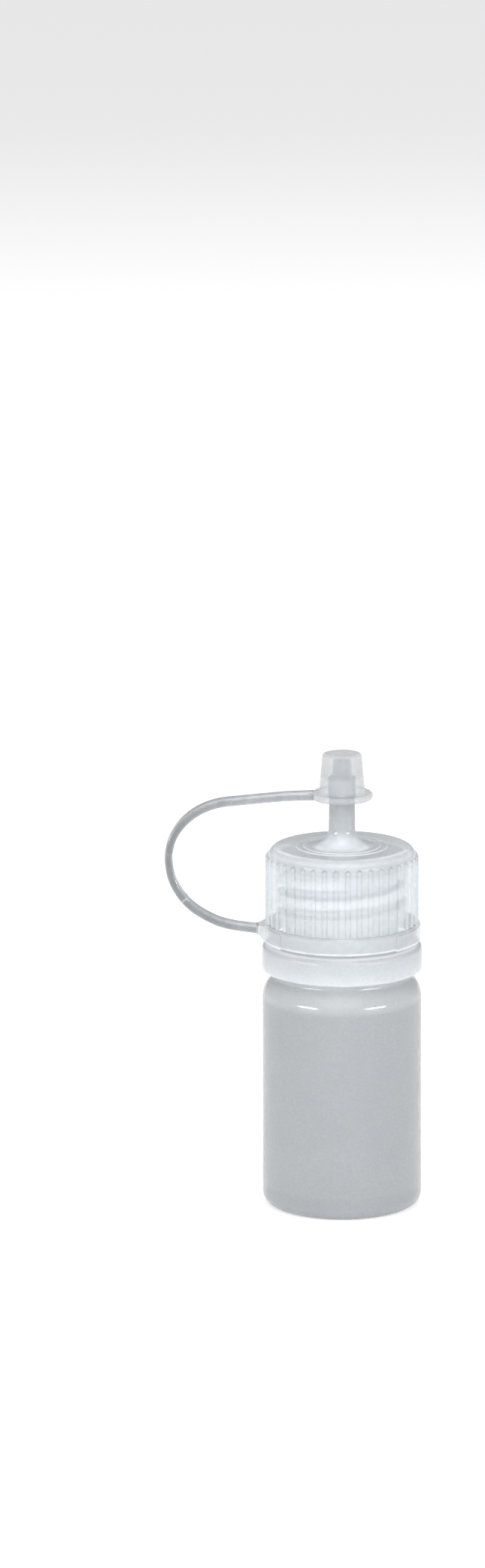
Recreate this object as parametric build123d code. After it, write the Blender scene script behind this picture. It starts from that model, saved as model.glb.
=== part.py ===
"""Dropper bottle: squeeze bottle, ribbed screw closure with a moulded spout, and a tether with its tip cap.

Millimetres. The origin is the centre of the base, +Z runs up the bottle and the tether loops out towards -X.
The three mouldings of the real object are the bottle, the screw closure, and the tether with its tip cap.
The last one is written as a swivel ring, a flexible strap and the tip cap, because those parts move apart.
"""

from build123d import *
import math
import os

# ---------------------------------------------------------------- body of the bottle
BODY_R = 12.5
BASE_CORNER_R = 2.0
BASE_RING_R = 9.0
PUSH_UP = 0.8
WALL = 1.0
FLOOR = 1.1
BODY_TOP_Z = 33.5
SHOULDER_R = 4.3
SHOULDER_DEG = 44.0
WAIST_ROUND = 1.3
INNER_SHOULDER_DEG = 35.0
GROOVE_TOP_Z = 38.05

# ---------------------------------------------------------------- collar ring under the neck
COLLAR_R = 12.57
COLLAR_TOP_Z = 42.4
COLLAR_LOWER_ROUND = 0.45
COLLAR_UPPER_ROUND = 1.0

# ---------------------------------------------------------------- neck finish, 20 mm with a two-turn thread
NECK_R = 8.75
NECK_BORE_R = 6.75
NECK_TOP_Z = 56.0
NECK_RIM_ROUND = 0.5
NECK_LIP_ROUND = 0.3
NECK_FOOT_CHAMFER = 0.6
THREAD_PITCH = 3.175
THREAD_CREST_R = 9.8
THREAD_START_Z = 47.9
THREAD_TURNS = 1.75
THREAD_ROOT_HALF = 0.85
THREAD_CREST_HALF = 0.45
THREAD_SUNK = 0.3
THREAD_SUNK_HALF = 0.1

# ---------------------------------------------------------------- screw closure
CAP_BOTTOM_Z = 43.5
CAP_FOOT_CHAMFER = 0.2
SKIRT_R = 11.45
CAP_R = 11.62
RIB_R = 12.05
RIB_COUNT = 40
RIB_BOTTOM_Z = 45.75
RIB_TOP_Z = 56.0
RIB_WIDTH = 0.85
CAP_TOP_Z = 57.8
CAP_TOP_ROUND = 1.7
TOP_BEADS_R = (7.1, 5.9)
TOP_BEAD_HALF = 0.22
TOP_BEAD_HEIGHT = 0.12
CAP_BORE_R = 10.15
CAP_CEILING_Z = 56.4
CAP_THREAD_CREST_R = 9.0
CAP_THREAD_LAG = 1.36
CAP_THREAD_TURNS = 2.0
CAP_THREAD_ROOT_HALF = 0.75
CAP_THREAD_CREST_HALF = 0.40
LAND_SEAL_R = 7.7
LAND_SEAL_HALF = 0.35
LAND_SEAL_Z = 56.12
PLUG_R = 6.55
PLUG_INNER_R = 5.85
PLUG_BOTTOM_Z = 53.4

# ---------------------------------------------------------------- spout on the closure
STEM_FLARE = 2.95
STEM_R = 2.08
STEM_TOP_R = 2.0
STEM_TOP_Z = 68.4
STEM_BORE_R = 1.10
STEM_BORE_BOTTOM_Z = 60.0
FUNNEL_R = 2.6
NOZZLE_FOOT_R = 1.05
NOZZLE_TIP_R = 0.92
NOZZLE_TOP_Z = 71.05
ORIFICE_R = 0.45

# ---------------------------------------------------------------- swivel ring of the tether
RING_R = 12.18
RING_PAD_R = 12.33
RING_BORE_R = 11.62
RING_BOTTOM_Z = 42.85
RING_TOP_Z = 45.6
RING_PAD_LEFT_DEG = 38
RING_PAD_RIGHT_DEG = 46
LUG_COUNT = 14
LUG_INNER_R = 10.9
LUG_TOP_Z = 43.25
LUG_WIDTH = 1.5
ROOT_HALF_WIDTH = 3.2

# ---------------------------------------------------------------- strap of the tether
STRAP_WIDTH = 2.5
STRAP_THICKNESS = 1.15
STRAP_START_X = -13.5
STRAP_END_X = -5.25
STRAP_GAP = 0.05
STRAP_STEPS = 30
STRAP_LINE = [
    (-13.5, 44.50),
    (-15.2, 44.72),
    (-17.3, 45.05),
    (-19.8, 45.80),
    (-22.9, 47.55),
    (-25.1, 49.72),
    (-26.55, 52.35),
    (-27.1, 55.00),
    (-27.05, 57.15),
    (-26.3, 59.50),
    (-24.7, 61.70),
    (-22.3, 63.52),
    (-19.4, 64.62),
    (-16.0, 65.05),
    (-12.0, 65.45),
    (-8.5, 65.75),
    (-5.25, 65.88),
]

# ---------------------------------------------------------------- tip cap
FLANGE_R = 4.87
FLANGE_BOTTOM_Z = 65.35
FLANGE_TOP_Z = 66.4
TIP_FOOT_R = 3.6
TIP_TOP_R = 3.12
TIP_TOP_Z = 72.6
TIP_TOP_ROUND = 0.45
TIP_BORE_R = 2.20
TIP_MOUTH_R = 2.5
TIP_CHAMBER_Z = 68.75
TIP_CHAMBER_R = 1.45
TIP_ROOF_Z = 71.5
PIN_ROOT_R = 0.38
PIN_TIP_R = 0.24
PIN_BOTTOM_Z = 70.45
LUG_INNER_X = -3.0


def turned(points):
    """Solid of revolution about Z from a closed outline of (radius, height) points."""
    outline = Polyline([(r, 0, z) for r, z in points], close=True)
    return revolve(make_face(outline), axis=Axis.Z)


def sector(half_deg, low_z, height):
    """Pie slice about +X, used to cut a stretch out of a ring."""
    corners = [(0, 0)]
    for i in range(9):
        a = math.radians(half_deg * (i - 4) / 4)
        corners.append((18 * math.cos(a), 18 * math.sin(a)))
    return Pos(0, 0, low_z) * extrude(make_face(Polyline(*corners, close=True)), height)


def turned_edges(edges):
    """Solid of revolution about Z from a closed loop of edges drawn in the XZ plane."""
    return revolve(make_face(Wire(edges)), axis=Axis.Z)


def line(a, b):
    return Edge.make_line((a[0], 0, a[1]), (b[0], 0, b[1]))


def arc(a, mid, b):
    return Edge.make_three_point_arc((a[0], 0, a[1]), (mid[0], 0, mid[1]), (b[0], 0, b[1]))


def on_circle(centre, radius, deg):
    a = math.radians(deg)
    return (centre[0] + radius * math.cos(a), centre[1] + radius * math.sin(a))


def thread(root_r, crest_r, root_half, crest_half, start_z, turns):
    """Right-hand thread ridge of trapezoid section, starting on the +X side."""
    path = Helix(THREAD_PITCH, THREAD_PITCH * turns, (root_r + crest_r) / 2)
    path = path.moved(Location((0, 0, start_z)))
    section = Polyline(
        (root_r, 0, start_z - root_half),
        (crest_r, 0, start_z - crest_half),
        (crest_r, 0, start_z + crest_half),
        (root_r, 0, start_z + root_half),
        close=True,
    )
    return sweep(make_face(section), path=path, is_frenet=True)


# ================================================================ bottle
def make_bottle():
    corner_c = (BODY_R - BASE_CORNER_R, BASE_CORNER_R)
    shoulder_c = (BODY_R - SHOULDER_R, BODY_TOP_Z)
    shoulder_end = on_circle(shoulder_c, SHOULDER_R, SHOULDER_DEG)
    # a hollow round turns the shoulder into the upright groove under the collar
    groove_r = shoulder_end[0] - WAIST_ROUND * (1 - math.cos(math.radians(SHOULDER_DEG)))
    waist_c = (groove_r + WAIST_ROUND, shoulder_end[1] + WAIST_ROUND * math.sin(math.radians(SHOULDER_DEG)))
    waist_mid = on_circle(waist_c, WAIST_ROUND, 180 + SHOULDER_DEG / 2)
    waist_top = (groove_r, waist_c[1])
    lower_c = (COLLAR_R - COLLAR_LOWER_ROUND, GROOVE_TOP_Z + COLLAR_LOWER_ROUND)
    upper_c = (COLLAR_R - COLLAR_UPPER_ROUND, COLLAR_TOP_Z - COLLAR_UPPER_ROUND)
    rim_c = (NECK_R - NECK_RIM_ROUND, NECK_TOP_Z - NECK_RIM_ROUND)
    lip_c = (NECK_BORE_R + NECK_LIP_ROUND, NECK_TOP_Z - NECK_LIP_ROUND)
    in_r = BODY_R - WALL
    in_corner = BASE_CORNER_R + 0.4
    in_c = (in_r - in_corner, FLOOR + in_corner)
    in_shoulder_r = SHOULDER_R - WALL
    in_shoulder_end = on_circle(shoulder_c, in_shoulder_r, INNER_SHOULDER_DEG)
    in_shoulder_mid = on_circle(shoulder_c, in_shoulder_r, INNER_SHOULDER_DEG / 2)
    throat_low = (groove_r - 1.3, shoulder_end[1] + 0.7)
    throat_high = (NECK_BORE_R + 0.6, GROOVE_TOP_Z + 0.5)
    throat_top = (NECK_BORE_R, GROOVE_TOP_Z + 1.6)

    outside = [
        line((0, PUSH_UP), (BASE_RING_R - 2.4, PUSH_UP * 0.72)),
        arc((BASE_RING_R - 2.4, PUSH_UP * 0.72), (BASE_RING_R - 0.9, PUSH_UP * 0.34), (BASE_RING_R, 0)),
        line((BASE_RING_R, 0), (corner_c[0], 0)),
        arc((corner_c[0], 0), on_circle(corner_c, BASE_CORNER_R, -45), (BODY_R, corner_c[1])),
        line((BODY_R, corner_c[1]), (BODY_R, BODY_TOP_Z)),
        arc((BODY_R, BODY_TOP_Z), on_circle(shoulder_c, SHOULDER_R, SHOULDER_DEG / 2), shoulder_end),
        arc(shoulder_end, waist_mid, waist_top),
        line(waist_top, (groove_r, GROOVE_TOP_Z)),
        line((groove_r, GROOVE_TOP_Z), (lower_c[0], GROOVE_TOP_Z)),
        arc((lower_c[0], GROOVE_TOP_Z), on_circle(lower_c, COLLAR_LOWER_ROUND, -45), (COLLAR_R, lower_c[1])),
        line((COLLAR_R, lower_c[1]), (COLLAR_R, upper_c[1])),
        arc((COLLAR_R, upper_c[1]), on_circle(upper_c, COLLAR_UPPER_ROUND, 45), (upper_c[0], COLLAR_TOP_Z)),
        line((upper_c[0], COLLAR_TOP_Z), (NECK_R + NECK_FOOT_CHAMFER, COLLAR_TOP_Z)),
        line((NECK_R + NECK_FOOT_CHAMFER, COLLAR_TOP_Z), (NECK_R, COLLAR_TOP_Z + NECK_FOOT_CHAMFER)),
        line((NECK_R, COLLAR_TOP_Z + NECK_FOOT_CHAMFER), (NECK_R, rim_c[1])),
        arc((NECK_R, rim_c[1]), on_circle(rim_c, NECK_RIM_ROUND, 45), (rim_c[0], NECK_TOP_Z)),
        line((rim_c[0], NECK_TOP_Z), (lip_c[0], NECK_TOP_Z)),
        arc((lip_c[0], NECK_TOP_Z), on_circle(lip_c, NECK_LIP_ROUND, 135), (NECK_BORE_R, lip_c[1])),
    ]
    inside = [
        line((NECK_BORE_R, lip_c[1]), throat_top),
        line(throat_top, throat_high),
        line(throat_high, throat_low),
        line(throat_low, in_shoulder_end),
        arc(in_shoulder_end, in_shoulder_mid, (in_r, BODY_TOP_Z)),
        line((in_r, BODY_TOP_Z), (in_r, in_c[1])),
        arc((in_r, in_c[1]), on_circle(in_c, in_corner, -45), (in_c[0], FLOOR)),
        line((in_c[0], FLOOR), (BASE_RING_R - 1.2, FLOOR)),
        line((BASE_RING_R - 1.2, FLOOR), (BASE_RING_R - 3.0, FLOOR + PUSH_UP * 0.7)),
        line((BASE_RING_R - 3.0, FLOOR + PUSH_UP * 0.7), (0, FLOOR + PUSH_UP)),
        line((0, FLOOR + PUSH_UP), (0, PUSH_UP)),
    ]
    shell = turned_edges(outside + inside)
    ridge = thread(
        NECK_R - THREAD_SUNK,
        THREAD_CREST_R,
        THREAD_ROOT_HALF + THREAD_SUNK_HALF,
        THREAD_CREST_HALF,
        THREAD_START_Z,
        THREAD_TURNS,
    )
    return shell + ridge


# ================================================================ screw closure
def top_face(outer_r, inner_r):
    """Edges of the closure's flat top, from outside in, with the fine round beads that circle the spout."""
    edges = []
    at = outer_r
    for r in TOP_BEADS_R:
        edges.append(line((at, CAP_TOP_Z), (r + TOP_BEAD_HALF, CAP_TOP_Z)))
        at = r - TOP_BEAD_HALF
        edges.append(arc((r + TOP_BEAD_HALF, CAP_TOP_Z), (r, CAP_TOP_Z + TOP_BEAD_HEIGHT), (at, CAP_TOP_Z)))
    edges.append(line((at, CAP_TOP_Z), (inner_r, CAP_TOP_Z)))
    return edges


def make_closure():
    flare_c = (STEM_R + STEM_FLARE, CAP_TOP_Z + STEM_FLARE)
    round_c = (CAP_R - CAP_TOP_ROUND, CAP_TOP_Z - CAP_TOP_ROUND)
    outside = [
        line((CAP_BORE_R, CAP_BOTTOM_Z + CAP_FOOT_CHAMFER), (CAP_BORE_R + CAP_FOOT_CHAMFER, CAP_BOTTOM_Z)),
        line((CAP_BORE_R + CAP_FOOT_CHAMFER, CAP_BOTTOM_Z), (SKIRT_R - CAP_FOOT_CHAMFER, CAP_BOTTOM_Z)),
        line((SKIRT_R - CAP_FOOT_CHAMFER, CAP_BOTTOM_Z), (SKIRT_R, CAP_BOTTOM_Z + CAP_FOOT_CHAMFER)),
        line((SKIRT_R, CAP_BOTTOM_Z + CAP_FOOT_CHAMFER), (SKIRT_R, RIB_BOTTOM_Z)),
        line((SKIRT_R, RIB_BOTTOM_Z), (CAP_R, RIB_BOTTOM_Z)),
        line((CAP_R, RIB_BOTTOM_Z), (CAP_R, round_c[1])),
        arc((CAP_R, round_c[1]), on_circle(round_c, CAP_TOP_ROUND, 45), (round_c[0], CAP_TOP_Z)),
        *top_face(round_c[0], flare_c[0]),
        arc((flare_c[0], CAP_TOP_Z), on_circle(flare_c, STEM_FLARE, 225), (STEM_R, flare_c[1])),
        line((STEM_R, flare_c[1]), (STEM_TOP_R, STEM_TOP_Z - 0.35)),
        line((STEM_TOP_R, STEM_TOP_Z - 0.35), (STEM_TOP_R - 0.35, STEM_TOP_Z)),
        line((STEM_TOP_R - 0.35, STEM_TOP_Z), (NOZZLE_FOOT_R, STEM_TOP_Z)),
        line((NOZZLE_FOOT_R, STEM_TOP_Z), (NOZZLE_TIP_R, NOZZLE_TOP_Z - 0.15)),
        line((NOZZLE_TIP_R, NOZZLE_TOP_Z - 0.15), (NOZZLE_TIP_R - 0.15, NOZZLE_TOP_Z)),
        line((NOZZLE_TIP_R - 0.15, NOZZLE_TOP_Z), (ORIFICE_R + 0.1, NOZZLE_TOP_Z)),
        line((ORIFICE_R + 0.1, NOZZLE_TOP_Z), (ORIFICE_R, NOZZLE_TOP_Z - 0.2)),
    ]
    inside = [
        line((ORIFICE_R, NOZZLE_TOP_Z - 0.2), (ORIFICE_R, STEM_TOP_Z + 0.4)),
        line((ORIFICE_R, STEM_TOP_Z + 0.4), (STEM_BORE_R, STEM_TOP_Z - 0.6)),
        line((STEM_BORE_R, STEM_TOP_Z - 0.6), (STEM_BORE_R, STEM_BORE_BOTTOM_Z)),
        line((STEM_BORE_R, STEM_BORE_BOTTOM_Z), (FUNNEL_R, CAP_CEILING_Z)),
        line((FUNNEL_R, CAP_CEILING_Z), (PLUG_INNER_R, CAP_CEILING_Z)),
        line((PLUG_INNER_R, CAP_CEILING_Z), (PLUG_INNER_R, PLUG_BOTTOM_Z)),
        line((PLUG_INNER_R, PLUG_BOTTOM_Z), (PLUG_R - 0.35, PLUG_BOTTOM_Z)),
        line((PLUG_R - 0.35, PLUG_BOTTOM_Z), (PLUG_R, PLUG_BOTTOM_Z + 0.9)),
        line((PLUG_R, PLUG_BOTTOM_Z + 0.9), (PLUG_R - 0.05, CAP_CEILING_Z)),
        line((PLUG_R - 0.05, CAP_CEILING_Z), (LAND_SEAL_R - LAND_SEAL_HALF, CAP_CEILING_Z)),
        line((LAND_SEAL_R - LAND_SEAL_HALF, CAP_CEILING_Z), (LAND_SEAL_R, LAND_SEAL_Z)),
        line((LAND_SEAL_R, LAND_SEAL_Z), (LAND_SEAL_R + LAND_SEAL_HALF, CAP_CEILING_Z)),
        line((LAND_SEAL_R + LAND_SEAL_HALF, CAP_CEILING_Z), (CAP_BORE_R, CAP_CEILING_Z)),
        line((CAP_BORE_R, CAP_CEILING_Z), (CAP_BORE_R, CAP_BOTTOM_Z + CAP_FOOT_CHAMFER)),
    ]
    shell = turned_edges(outside + inside)

    # grip ribs, half-round outside, rounded over at the top and square at the foot
    rib_centre = RIB_R - RIB_WIDTH / 2
    post_height = RIB_TOP_Z - RIB_BOTTOM_Z
    post = Pos(rib_centre, 0, RIB_BOTTOM_Z) * Cylinder(
        RIB_WIDTH / 2, post_height, align=(Align.CENTER, Align.CENTER, Align.MIN)
    )
    ball = Pos(rib_centre, 0, RIB_TOP_Z) * Sphere(RIB_WIDTH / 2)
    rib = post + ball
    ribs = [Rot(0, 0, 360 * (i + 0.5) / RIB_COUNT) * rib for i in range(RIB_COUNT)]
    # the ribs' inner halves are inside the wall, so they never reach the bore
    shell = shell + ribs

    ridge = thread(
        CAP_BORE_R + THREAD_SUNK,
        CAP_THREAD_CREST_R,
        CAP_THREAD_ROOT_HALF + THREAD_SUNK_HALF,
        CAP_THREAD_CREST_HALF,
        THREAD_START_Z - CAP_THREAD_LAG,
        CAP_THREAD_TURNS,
    )
    return shell + ridge


# ================================================================ swivel ring
def make_ring():
    band = turned(
        [
            (RING_BORE_R, RING_BOTTOM_Z),
            (RING_R - 0.25, RING_BOTTOM_Z),
            (RING_R, RING_BOTTOM_Z + 0.25),
            (RING_R, RING_TOP_Z - 0.3),
            (RING_R - 0.3, RING_TOP_Z),
            (RING_BORE_R, RING_TOP_Z),
        ]
    )
    lug = Pos((LUG_INNER_R + RING_BORE_R) / 2 + 0.1, 0, RING_BOTTOM_Z) * Box(
        RING_BORE_R - LUG_INNER_R + 0.2,
        LUG_WIDTH,
        LUG_TOP_Z - RING_BOTTOM_Z,
        align=(Align.CENTER, Align.CENTER, Align.MIN),
    )
    lugs = [Rot(0, 0, 360 * (i + 0.5) / LUG_COUNT) * lug for i in range(LUG_COUNT)]

    # two pads stand a little proud of the band, one at the strap and one opposite it
    pad_height = RING_TOP_Z - RING_BOTTOM_Z - 0.35
    pad = Pos(0, 0, RING_BOTTOM_Z) * Cylinder(
        RING_PAD_R, pad_height, align=(Align.CENTER, Align.CENTER, Align.MIN)
    )
    pad = pad - Pos(0, 0, RING_BOTTOM_Z - 1) * Cylinder(
        RING_R - 0.25, pad_height + 2, align=(Align.CENTER, Align.CENTER, Align.MIN)
    )
    pad_right = pad & sector(RING_PAD_RIGHT_DEG, RING_BOTTOM_Z - 1, 5)
    pad_left = pad & (Rot(0, 0, 180) * sector(RING_PAD_LEFT_DEG, RING_BOTTOM_Z - 1, 5))

    # root of the strap, flared towards the band and down to its lower edge
    root_z = STRAP_LINE[0][1]
    top_z = root_z + STRAP_THICKNESS / 2
    low_z = root_z - STRAP_THICKNESS / 2
    side = Polyline(
        (-11.9, 0, top_z + 0.35),
        (-12.6, 0, top_z + 0.15),
        (STRAP_START_X, 0, top_z),
        (STRAP_START_X, 0, low_z),
        (-12.9, 0, low_z - 0.25),
        (-12.25, 0, RING_BOTTOM_Z + 0.1),
        (-11.9, 0, RING_BOTTOM_Z + 0.1),
        close=True,
    )
    root = extrude(make_face(side), amount=ROOT_HALF_WIDTH, both=True)
    plan = Polyline(
        (-11.0, -ROOT_HALF_WIDTH),
        (-12.2, -2.5),
        (-12.8, -1.6),
        (STRAP_START_X, -STRAP_WIDTH / 2),
        (STRAP_START_X, STRAP_WIDTH / 2),
        (-12.8, 1.6),
        (-12.2, 2.5),
        (-11.0, ROOT_HALF_WIDTH),
        close=True,
    )
    root = root & (Pos(0, 0, 40) * extrude(make_face(plan), 8))
    core = Pos(0, 0, 40) * Cylinder(RING_BORE_R, 8, align=(Align.CENTER, Align.CENTER, Align.MIN))
    root = root - core
    return band + lugs + pad_right + pad_left + root


# ================================================================ strap
def make_strap():
    centre = Spline([(x, 0, z) for x, z in STRAP_LINE])
    outer = []
    inner = []
    for i in range(STRAP_STEPS + 1):
        p = centre @ (i / STRAP_STEPS)
        t = centre % (i / STRAP_STEPS)
        nx, nz = -t.Z, t.X
        half = STRAP_THICKNESS / 2
        outer.append((p.X + nx * half, 0, p.Z + nz * half))
        inner.append((p.X - nx * half, 0, p.Z - nz * half))
    # both ends are square to X, so that they meet the ring's root and the cap's lug flat
    outer[0] = (STRAP_START_X, 0, outer[0][2])
    inner[0] = (STRAP_START_X, 0, inner[0][2])
    outer[-1] = (STRAP_END_X - STRAP_GAP, 0, outer[-1][2])
    inner[-1] = (STRAP_END_X - STRAP_GAP, 0, inner[-1][2])
    far = Spline(outer)
    near = Spline(inner)
    loop = Wire([
        far,
        Edge.make_line(far @ 1, near @ 1),
        near,
        Edge.make_line(near @ 0, far @ 0),
    ])
    return extrude(make_face(loop), amount=STRAP_WIDTH / 2, dir=(0, 1, 0), both=True)


# ================================================================ tip cap
def make_tip_cap():
    round_c = (TIP_TOP_R - TIP_TOP_ROUND, TIP_TOP_Z - TIP_TOP_ROUND)
    body = turned_edges([
        line((TIP_MOUTH_R, FLANGE_BOTTOM_Z), (FLANGE_R - 0.3, FLANGE_BOTTOM_Z)),
        arc(
            (FLANGE_R - 0.3, FLANGE_BOTTOM_Z),
            (FLANGE_R, (FLANGE_BOTTOM_Z + FLANGE_TOP_Z) / 2),
            (FLANGE_R - 0.3, FLANGE_TOP_Z),
        ),
        line((FLANGE_R - 0.3, FLANGE_TOP_Z), (TIP_FOOT_R + 0.3, FLANGE_TOP_Z)),
        line((TIP_FOOT_R + 0.3, FLANGE_TOP_Z), (TIP_FOOT_R, FLANGE_TOP_Z + 0.3)),
        line((TIP_FOOT_R, FLANGE_TOP_Z + 0.3), (TIP_TOP_R, round_c[1])),
        arc((TIP_TOP_R, round_c[1]), on_circle(round_c, TIP_TOP_ROUND, 45), (round_c[0], TIP_TOP_Z)),
        line((round_c[0], TIP_TOP_Z), (0, TIP_TOP_Z)),
        line((0, TIP_TOP_Z), (0, PIN_BOTTOM_Z)),
        line((0, PIN_BOTTOM_Z), (PIN_TIP_R, PIN_BOTTOM_Z)),
        line((PIN_TIP_R, PIN_BOTTOM_Z), (PIN_ROOT_R, PIN_BOTTOM_Z + 0.5)),
        line((PIN_ROOT_R, PIN_BOTTOM_Z + 0.5), (PIN_ROOT_R, TIP_ROOF_Z)),
        line((PIN_ROOT_R, TIP_ROOF_Z), (TIP_CHAMBER_R, TIP_ROOF_Z)),
        line((TIP_CHAMBER_R, TIP_ROOF_Z), (TIP_CHAMBER_R, TIP_CHAMBER_Z + 0.55)),
        line((TIP_CHAMBER_R, TIP_CHAMBER_Z + 0.55), (TIP_BORE_R, TIP_CHAMBER_Z - 0.1)),
        line((TIP_BORE_R, TIP_CHAMBER_Z - 0.1), (TIP_BORE_R, FLANGE_BOTTOM_Z + 0.5)),
        line((TIP_BORE_R, FLANGE_BOTTOM_Z + 0.5), (TIP_MOUTH_R, FLANGE_BOTTOM_Z)),
    ])
    # lug on the flange that carries on as the strap
    lug_mid = STRAP_LINE[-1][1]
    lug = Pos((STRAP_END_X + LUG_INNER_X) / 2, 0, lug_mid) * Box(
        LUG_INNER_X - STRAP_END_X, STRAP_WIDTH, STRAP_THICKNESS
    )
    return body + lug


PARTS = {
    "bottle": make_bottle(),
    "screw_closure": make_closure(),
    "tether_ring": make_ring(),
    "tether_strap": make_strap(),
    "tip_cap": make_tip_cap(),
}

os.makedirs("parts", exist_ok=True)
for name, shape in PARTS.items():
    export_step(shape, f"parts/{name}.step")
    print(name, "solids", len(shape.solids()), "volume", round(shape.volume, 1))
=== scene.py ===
"""Looks of the dropper bottle: plastics, moulded strap, floor, light and camera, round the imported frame."""

import math

import bmesh
import bpy
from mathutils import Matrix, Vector


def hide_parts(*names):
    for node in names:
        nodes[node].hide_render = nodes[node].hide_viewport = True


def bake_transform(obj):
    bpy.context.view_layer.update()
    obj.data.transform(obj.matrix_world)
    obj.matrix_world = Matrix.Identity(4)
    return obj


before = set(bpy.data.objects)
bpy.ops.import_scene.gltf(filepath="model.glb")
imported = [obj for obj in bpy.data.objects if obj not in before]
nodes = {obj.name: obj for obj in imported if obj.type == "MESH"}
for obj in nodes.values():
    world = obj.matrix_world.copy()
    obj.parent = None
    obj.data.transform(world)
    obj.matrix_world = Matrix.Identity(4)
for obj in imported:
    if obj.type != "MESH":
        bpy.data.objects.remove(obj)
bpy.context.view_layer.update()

scene = bpy.context.scene


# ---------------------------------------------------------------- node-tree helpers
class Tree:
    """A material's node tree with short calls for making and joining nodes."""

    def __init__(self, name):
        self.mat = bpy.data.materials.new(name)
        self.mat.use_nodes = True
        self.nt = self.mat.node_tree
        self.nt.nodes.clear()
        self.out = self.nt.nodes.new("ShaderNodeOutputMaterial")

    def node(self, kind, **values):
        made = self.nt.nodes.new(kind)
        for key, value in values.items():
            setattr(made, key, value)
        return made

    def join(self, source, target):
        self.nt.links.new(source, target)

    def noise(self, scale, detail=2.0, roughness=0.5, distortion=0.0):
        coord = self.node("ShaderNodeTexCoord")
        made = self.node("ShaderNodeTexNoise")
        made.inputs["Scale"].default_value = scale
        made.inputs["Detail"].default_value = detail
        made.inputs["Roughness"].default_value = roughness
        made.inputs["Distortion"].default_value = distortion
        self.join(coord.outputs["Object"], made.inputs["Vector"])
        return made.outputs["Fac"]

    def ramp(self, factor, stops):
        made = self.node("ShaderNodeValToRGB")
        while len(made.color_ramp.elements) < len(stops):
            made.color_ramp.elements.new(0.5)
        for element, (place, colour) in zip(made.color_ramp.elements, stops):
            element.position = place
            element.color = (*colour, 1.0)
        self.join(factor, made.inputs["Fac"])
        return made.outputs["Color"]

    def remap(self, factor, low, high, new_low, new_high):
        made = self.node("ShaderNodeMapRange")
        made.inputs["From Min"].default_value = low
        made.inputs["From Max"].default_value = high
        made.inputs["To Min"].default_value = new_low
        made.inputs["To Max"].default_value = new_high
        self.join(factor, made.inputs["Value"])
        return made.outputs["Result"]

    def bump(self, height, strength, distance):
        made = self.node("ShaderNodeBump")
        made.inputs["Strength"].default_value = strength
        made.inputs["Distance"].default_value = distance
        self.join(height, made.inputs["Height"])
        return made.outputs["Normal"]

    def height(self):
        """Height above the base, in metres."""
        return self.place().outputs["Z"]

    def place(self):
        """The place on the object, in metres, split into X, Y and Z."""
        coord = self.node("ShaderNodeTexCoord")
        split = self.node("ShaderNodeSeparateXYZ")
        self.join(coord.outputs["Object"], split.inputs["Vector"])
        return split

    def radius(self):
        """Distance from the bottle's axis, in metres."""
        split = self.place()
        flat = self.node("ShaderNodeCombineXYZ")
        self.join(split.outputs["X"], flat.inputs["X"])
        self.join(split.outputs["Y"], flat.inputs["Y"])
        length = self.node("ShaderNodeVectorMath", operation="LENGTH")
        self.join(flat.outputs["Vector"], length.inputs[0])
        return length.outputs["Value"]

    def mix(self, factor, a, b, blend="MIX"):
        made = self.node("ShaderNodeMix", data_type="RGBA", blend_type=blend)
        if isinstance(factor, float):
            made.inputs["Factor"].default_value = factor
        else:
            self.join(factor, made.inputs["Factor"])
        self.join(a, made.inputs["A"])
        self.join(b, made.inputs["B"])
        return made.outputs["Result"]

    def tones(self, stops):
        """Natural plastic by height: stops is a list of (height in mm, brightness)."""
        low, high = stops[0][0] / 1000, stops[-1][0] / 1000
        along = self.remap(self.height(), low, high, 0.0, 1.0)
        return self.ramp(along, [((z / 1000 - low) / (high - low), natural(value)) for z, value in stops])


WHITE = (1.0, 1.0, 1.0)
CLOUD_SCALE = 160.0
CLOUD_TONE = (0.955, 0.96, 0.965)
SPECK_TONE = (0.92, 0.92, 0.924)
NOISE_LOW, NOISE_HIGH = 0.3, 0.7
GRAIN_DEPTH = 0.00004
PLASTIC_IOR = 1.5


def moulded(t, tone, grain, rough, bump, alpha, specular=0.5, scatter=0.0, scatter_mm=1.0):
    """Finishes t as moulded natural plastic, with faint cloudiness and a fine grain in gloss and surface."""
    cloud = t.ramp(t.noise(CLOUD_SCALE, 3.0, 0.6), [(NOISE_LOW, CLOUD_TONE), (NOISE_HIGH, WHITE)])
    fine = t.noise(grain, 2.0, 0.55)
    speck = t.ramp(fine, [(NOISE_LOW, SPECK_TONE), (NOISE_HIGH, WHITE)])
    p = t.node("ShaderNodeBsdfPrincipled")
    t.join(t.mix(1.0, t.mix(1.0, tone, cloud, "MULTIPLY"), speck, "MULTIPLY"), p.inputs["Base Color"])
    t.join(t.remap(fine, NOISE_LOW, NOISE_HIGH, rough[0], rough[1]), p.inputs["Roughness"])
    t.join(t.bump(fine, bump, GRAIN_DEPTH), p.inputs["Normal"])
    if isinstance(alpha, float):
        p.inputs["Alpha"].default_value = alpha
    else:
        t.join(alpha, p.inputs["Alpha"])
    p.inputs["IOR"].default_value = PLASTIC_IOR
    p.inputs["Specular IOR Level"].default_value = specular
    p.inputs["Subsurface Weight"].default_value = scatter
    p.inputs["Subsurface Radius"].default_value = (1.0, 1.0, 1.0)
    p.inputs["Subsurface Scale"].default_value = scatter_mm / 1000
    t.join(p.outputs["BSDF"], t.out.inputs["Surface"])
    return t.mat


def natural(value):
    """The cool white of natural polyethylene, at a given brightness."""
    return (value * 0.957, value, min(value * 1.038, 1.0))


def wear(node_name, material):
    """Gives a CAD node one material."""
    obj = nodes[node_name]
    obj.data.materials.clear()
    obj.data.materials.append(material)


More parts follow.
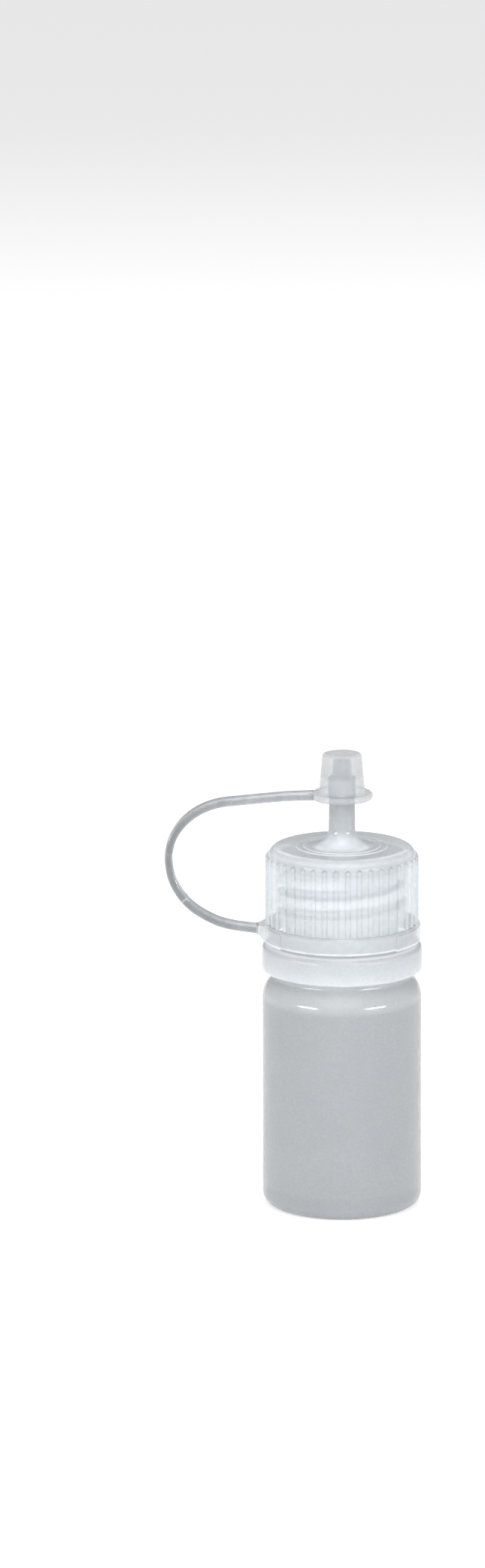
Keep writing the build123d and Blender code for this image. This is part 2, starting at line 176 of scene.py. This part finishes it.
# ---------------------------------------------------------------- plastics
# Brightness by height in mm above the base. Painted shade darkens the foot towards the base. The lighter
# shoulder band is partly whiter, thicker plastic and partly painted light on its up-facing slope. The last
# two bottle stops are painted light on the hidden top of the collar, lifting the shade under the ring.
BOTTLE_TONES_WITH_PAINTED_LIGHT_AND_SHADE = [
    (0.0, 0.27), (1.8, 0.35), (4.0, 0.44), (7.0, 0.455), (33.2, 0.45),
    (34.2, 0.58), (37.9, 0.72), (38.4, 0.61), (42.15, 0.50), (42.33, 0.95), (42.4, 0.95),
]
# The closure's dip at 56.6 to 57.55 mm is painted shade on its top's rounded corner.
CLOSURE_TONES_WITH_PAINTED_SHADE = [
    (43.5, 0.98), (55.0, 0.97), (56.6, 0.66), (57.55, 0.73), (57.75, 0.92), (58.2, 0.92),
    (60.5, 0.50), (65.0, 0.39), (66.2, 0.70), (69.0, 0.75), (71.5, 0.9),
]
# The light stops at 42.85 to 43.1 mm are painted light on the ring's lower edge, lifting the shade over the
# collar; the dip at 69.4 mm is painted shade round the tip cap's chamber.
TETHER_TONES_WITH_PAINTED_LIGHT_AND_SHADE = [
    (42.85, 0.95), (43.1, 0.95), (43.3, 0.58), (45.6, 0.62),
    (64.0, 0.52), (68.6, 0.53), (69.4, 0.44), (72.6, 0.50),
]
# The neck goes by distance from the axis instead, in metres: painted shade darkens its wall between the
# thread turns, so its wall is darker than its thread.
NECK_FADE_IN = (0.0424, 0.0436)
NECK_RADII = (0.006, 0.0098)
NECK_TONES_WITH_PAINTED_SHADE = [(0.0, 0.94), (0.4, 0.94), (0.62, 0.38), (0.8, 0.38), (0.95, 0.94)]
# The closure's ribs are greyed by painted shade, which darkens the closure most where the ribs crowd at its
# sides.
RIB_RADII = (0.0113, 0.0117)
RIB_PAINTED_SHADE_TONE = (0.74, 0.745, 0.75)
# The closure is clearer in its skirt than in its top.
CLOSURE_TOP_FADE_IN = (0.0555, 0.0570)
SKIRT_ALPHA, CLOSURE_TOP_ALPHA = 0.42, 0.8
# The strap goes from the middle of its thickness to its rims, with painted highlights on its rims. Painted
# shade darkens its loop, so its two ends are lighter than its loop.
STRAP_TONES_WITH_PAINTED_RIM_HIGHLIGHTS = [(0.0, 0.25), (0.55, 0.28), (0.85, 0.44), (1.0, 0.68)]
STRAP_STREAK = (0.82, 0.82, 0.82)
STRAP_STREAK_SCALE = 420.0
# The strap is darkened by painted shade on its loop, towards -X, and lightened towards its ends.
STRAP_FADE_X = (-0.027, -0.012)
STRAP_LOOP_PAINTED_SHADE, STRAP_END_FACTOR = 0.78, 1.3
FROSTED_GRAIN, GLOSSY_GRAIN = 2600.0, 900.0
FROSTED_ROUGH, GLOSSY_ROUGH, STRAP_ROUGH = (0.10, 0.15), (0.08, 0.12), (0.14, 0.22)


def bottle_plastic():
    """Frosted squeeze plastic: grey in the thin body, with painted shade on the foot and on the neck's wall
    between its thread turns, a shoulder lighter partly from thicker plastic and partly from painted light,
    and painted light on the collar top.
    """
    t = Tree("bottle_plastic")
    # Painted shade on the foot and painted light on the shoulder and the collar top come in with these tones.
    wall = t.tones(BOTTLE_TONES_WITH_PAINTED_LIGHT_AND_SHADE)
    outward = t.remap(t.radius(), *NECK_RADII, 0.0, 1.0)
    # Painted shade on the neck's wall between its thread turns.
    neck = t.ramp(outward, [(at, natural(value)) for at, value in NECK_TONES_WITH_PAINTED_SHADE])
    tone = t.mix(t.remap(t.height(), *NECK_FADE_IN, 0.0, 1.0), wall, neck)
    return moulded(
        t, tone, FROSTED_GRAIN, FROSTED_ROUGH, 0.05, alpha=0.82, specular=0.38, scatter=1.0, scatter_mm=8.0)


def closure_plastic():
    """Clearer, glossy plastic: greyer in its thin spout and more solid on its top, with painted shade greying
    its ribs and its top's rounded corner.
    """
    t = Tree("closure_plastic")
    # Painted shade on the ribs.
    ribs = t.ramp(t.remap(t.radius(), *RIB_RADII, 0.0, 1.0), [(0.0, WHITE), (1.0, RIB_PAINTED_SHADE_TONE)])
    tone = t.mix(1.0, t.tones(CLOSURE_TONES_WITH_PAINTED_SHADE), ribs, "MULTIPLY")
    solid = t.remap(t.height(), *CLOSURE_TOP_FADE_IN, SKIRT_ALPHA, CLOSURE_TOP_ALPHA)
    return moulded(t, tone, GLOSSY_GRAIN, GLOSSY_ROUGH, 0.04, alpha=solid, specular=0.25)


def tether_plastic():
    """The soft tether moulding, seen on the swivel ring and the tip cap, with painted light on the ring's
    lower edge and painted shade round the tip cap's chamber.
    """
    t = Tree("tether_plastic")
    return moulded(t, t.tones(TETHER_TONES_WITH_PAINTED_LIGHT_AND_SHADE), GLOSSY_GRAIN, GLOSSY_ROUGH, 0.04, alpha=0.47, specular=0.4)


def strap_plastic():
    """The same plastic along the strap: grey through its middle, with painted highlights on its rims and on
    its gate mark, and painted shade on its loop.
    """
    t = Tree("strap_plastic")
    rim = t.node("ShaderNodeAttribute", attribute_name="rim").outputs["Fac"]
    # Painted highlights on the rims and the gate mark.
    tone = t.ramp(rim, [(at, natural(value)) for at, value in STRAP_TONES_WITH_PAINTED_RIM_HIGHLIGHTS])
    streaks = t.ramp(t.noise(STRAP_STREAK_SCALE, 4.0, 0.65, 0.4), [(0.35, STRAP_STREAK), (0.65, WHITE)])
    tone = t.mix(1.0, tone, streaks, "MULTIPLY")
    # Painted shade on the strap's loop.
    ends = t.remap(t.place().outputs["X"], *STRAP_FADE_X, STRAP_LOOP_PAINTED_SHADE, STRAP_END_FACTOR)
    tone = t.mix(1.0, tone, ends, "MULTIPLY")
    return moulded(t, tone, GLOSSY_GRAIN, STRAP_ROUGH, 0.08, alpha=0.93)


wear("bottle", bottle_plastic())
wear("screw_closure", closure_plastic())
tether_mat = tether_plastic()
wear("tether_ring", tether_mat)
wear("tip_cap", tether_mat)

# ---------------------------------------------------------------- moulded strap of the tether, in mm
STRAP_WIDTH = 2.54
STRAP_THICKNESS = 1.2
STRAP_CORNER = 0.3
STRAP_LINE = [
    (-13.2, 44.47), (-15.2, 44.72), (-17.3, 45.05), (-19.8, 45.80), (-22.9, 47.55), (-25.1, 49.72),
    (-26.55, 52.35), (-27.1, 55.00), (-27.05, 57.15), (-26.3, 59.50), (-24.7, 61.70), (-22.3, 63.52),
    (-19.4, 64.62), (-16.0, 65.05), (-12.0, 65.45), (-8.5, 65.75), (-4.4, 65.90),
]
STATIONS_PER_SPAN = 10
CORNER_STEPS = 4
FLAT_STEPS = 4
GATE_MARK = (-24.75, 49.3)
GATE_MARK_PROUD = 0.07
GATE_MARK_LENGTH = 0.22


def smooth_line(points, per_span):
    """Points along a curve through the given ones, a Catmull-Rom spline."""
    pts = [Vector(p) for p in points]
    pts = [2 * pts[0] - pts[1]] + pts + [2 * pts[-1] - pts[-2]]
    out = []
    for a, b, c, d in zip(pts, pts[1:], pts[2:], pts[3:]):
        for i in range(per_span):
            u = i / per_span
            square = (2 * a - 5 * b + 4 * c - d) * u**2
            cube = (3 * b - a - 3 * c + d) * u**3
            out.append(0.5 * (2 * b + (c - a) * u + square + cube))
    return out + [pts[-2]]


def strap_section():
    """Closed rounded rectangle as (across the strap, through its thickness), in mm."""
    w, h = STRAP_WIDTH / 2 - STRAP_CORNER, STRAP_THICKNESS / 2 - STRAP_CORNER
    out = []
    for k, (sx, sy) in enumerate([(1, 1), (-1, 1), (-1, -1), (1, -1)]):
        corner = []
        for i in range(CORNER_STEPS + 1):
            a = math.radians(90 * k + 90 * i / CORNER_STEPS)
            corner.append(Vector((sx * w + STRAP_CORNER * math.cos(a), sy * h + STRAP_CORNER * math.sin(a))))
        if out:
            last = out[-1]
            out += [last.lerp(corner[0], i / FLAT_STEPS) for i in range(1, FLAT_STEPS)]
        out += corner
    out += [out[-1].lerp(out[0], i / FLAT_STEPS) for i in range(1, FLAT_STEPS)]
    return out


def make_strap():
    """The strap swept along its line. Its attribute rim runs from 0 in mid-thickness to 1 at its rims and on
    the gate mark, where strap_plastic paints highlights.
    """
    line = smooth_line(STRAP_LINE, STATIONS_PER_SPAN)
    section = strap_section()
    bm = bmesh.new()
    rim = bm.verts.layers.float.new("rim")
    rings = []
    for i, at in enumerate(line):
        ahead = (line[min(i + 1, len(line) - 1)] - line[max(i - 1, 0)]).normalized()
        up = Vector((-ahead.y, ahead.x))
        mark = math.exp(-(((at - Vector(GATE_MARK)).length / GATE_MARK_LENGTH) ** 2))
        proud = 1 + GATE_MARK_PROUD * mark
        ring = []
        for across, through in section:
            spot = at + up * through * proud
            v = bm.verts.new((spot.x / 1000, across * proud / 1000, spot.y / 1000))
            # Rims and the gate mark get rim values near 1, which strap_plastic turns into painted highlights.
            v[rim] = min(1.0, max(abs(through) / (STRAP_THICKNESS / 2), mark))
            ring.append(v)
        rings.append(ring)
    count = len(section)
    for here, ahead in zip(rings, rings[1:]):
        for k in range(count):
            bm.faces.new((here[k], here[(k + 1) % count], ahead[(k + 1) % count], ahead[k]))
    bm.faces.new(rings[0])
    bm.faces.new(reversed(rings[-1]))
    bmesh.ops.recalc_face_normals(bm, faces=bm.faces)
    for face in bm.faces:
        face.smooth = len(face.verts) == 4
    mesh = bpy.data.meshes.new("strap")
    bm.to_mesh(mesh)
    bm.free()
    obj = bpy.data.objects.new("strap", mesh)
    scene.collection.objects.link(obj)
    obj.data.materials.append(strap_plastic())
    return obj


strap = make_strap()
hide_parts("tether_strap")
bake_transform(strap)

# ---------------------------------------------------------------- floor
FLOOR_R = 4.0
FLOOR_GAP = 0.0001
FLOOR_GREY = 0.9
FLOOR_GLOW = 0.5


def make_floor():
    """A white disc that glows a little, just under the bottle."""
    mesh = bpy.data.meshes.new("floor")
    bm = bmesh.new()
    bmesh.ops.create_circle(bm, cap_ends=True, radius=FLOOR_R, segments=64)
    bm.to_mesh(mesh)
    bm.free()
    obj = bpy.data.objects.new("floor", mesh)
    scene.collection.objects.link(obj)
    obj.location.z = -FLOOR_GAP
    t = Tree("floor_white")
    p = t.node("ShaderNodeBsdfPrincipled")
    p.inputs["Base Color"].default_value = (FLOOR_GREY, FLOOR_GREY, FLOOR_GREY, 1)
    p.inputs["Roughness"].default_value = 0.9
    p.inputs["Emission Color"].default_value = (1, 1, 1, 1)
    p.inputs["Emission Strength"].default_value = FLOOR_GLOW
    t.join(p.outputs["BSDF"], t.out.inputs["Surface"])
    obj.data.materials.append(t.mat)
    return obj


make_floor()

# ---------------------------------------------------------------- light
WORLD_STRENGTH = 0.29
LIT_POINT = (0, 0, 0.04)

world = bpy.data.worlds.new("studio")
scene.world = world
world.use_nodes = True
world.node_tree.nodes["Background"].inputs["Color"].default_value = (1, 1, 1, 1)
world.node_tree.nodes["Background"].inputs["Strength"].default_value = WORLD_STRENGTH


def softbox(name, place, size, power):
    """A rectangular area light at a place, turned towards the lit point."""
    data = bpy.data.lights.new(name, "AREA")
    data.shape = "RECTANGLE"
    data.size, data.size_y = size
    data.energy = power
    lamp = bpy.data.objects.new(name, data)
    scene.collection.objects.link(lamp)
    lamp.location = place
    lamp.rotation_mode = "QUATERNION"
    lamp.rotation_quaternion = (Vector(place) - Vector(LIT_POINT)).to_track_quat("Z", "Y")


def around(azimuth, elevation, distance):
    """A place round the lit point: azimuth 0 is in front and 90 on the right."""
    a, e = math.radians(azimuth), math.radians(elevation)
    flat = distance * math.cos(e)
    return (flat * math.sin(a), -flat * math.cos(a), LIT_POINT[2] + distance * math.sin(e))


# name, azimuth and elevation in degrees, distance and size in metres, power in watts
LAMPS = [
    ("front_left", -50, 7.5, 1.0, (0.54, 0.08), 4.7),
    ("front_right", 50, 7.5, 1.0, (0.54, 0.08), 4.7),
    ("front_fill", 0, 38, 1.0, (1.0, 0.8), 5.1),
    ("overhead", 0, 72, 0.9, (0.30, 0.20), 1.1),
    ("back_fill", 180, 35, 1.0, (0.6, 0.5), 1.3),
]
for lamp_name, azimuth, elevation, distance, size, power in LAMPS:
    softbox(lamp_name, around(azimuth, elevation, distance), size, power)

# ---------------------------------------------------------------- camera
CAMERA_DISTANCE = 1.2
CAMERA_ELEVATION = math.radians(14.3)
AIM_Z = 0.036
FRAME_W, FRAME_H = 645, 2086
FOCAL_PX = 10147.0
AIM_PX = (454.8, 1304.3)
SENSOR_MM = 36.0

cam_data = bpy.data.cameras.new("camera")
cam_data.sensor_fit = "AUTO"
cam_data.sensor_width = SENSOR_MM
cam_data.lens = SENSOR_MM * FOCAL_PX / FRAME_H
cam = bpy.data.objects.new("camera", cam_data)
scene.collection.objects.link(cam)
back = Vector((0, -math.cos(CAMERA_ELEVATION), math.sin(CAMERA_ELEVATION)))
cam.location = Vector((0, 0, AIM_Z)) + back * CAMERA_DISTANCE
# aimed at the bottle first, then turned by the least angle that puts the aim point where the frame has it
aimed = back.to_track_quat("Z", "Y")
target = Vector((AIM_PX[0] - FRAME_W / 2, FRAME_H / 2 - AIM_PX[1], -FOCAL_PX)).normalized()
cam.rotation_mode = "QUATERNION"
cam.rotation_quaternion = aimed @ target.rotation_difference(Vector((0, 0, -1)))
cam_data.clip_start, cam_data.clip_end = 0.01, 50.0
scene.camera = cam

scene.view_settings.view_transform = "Standard"
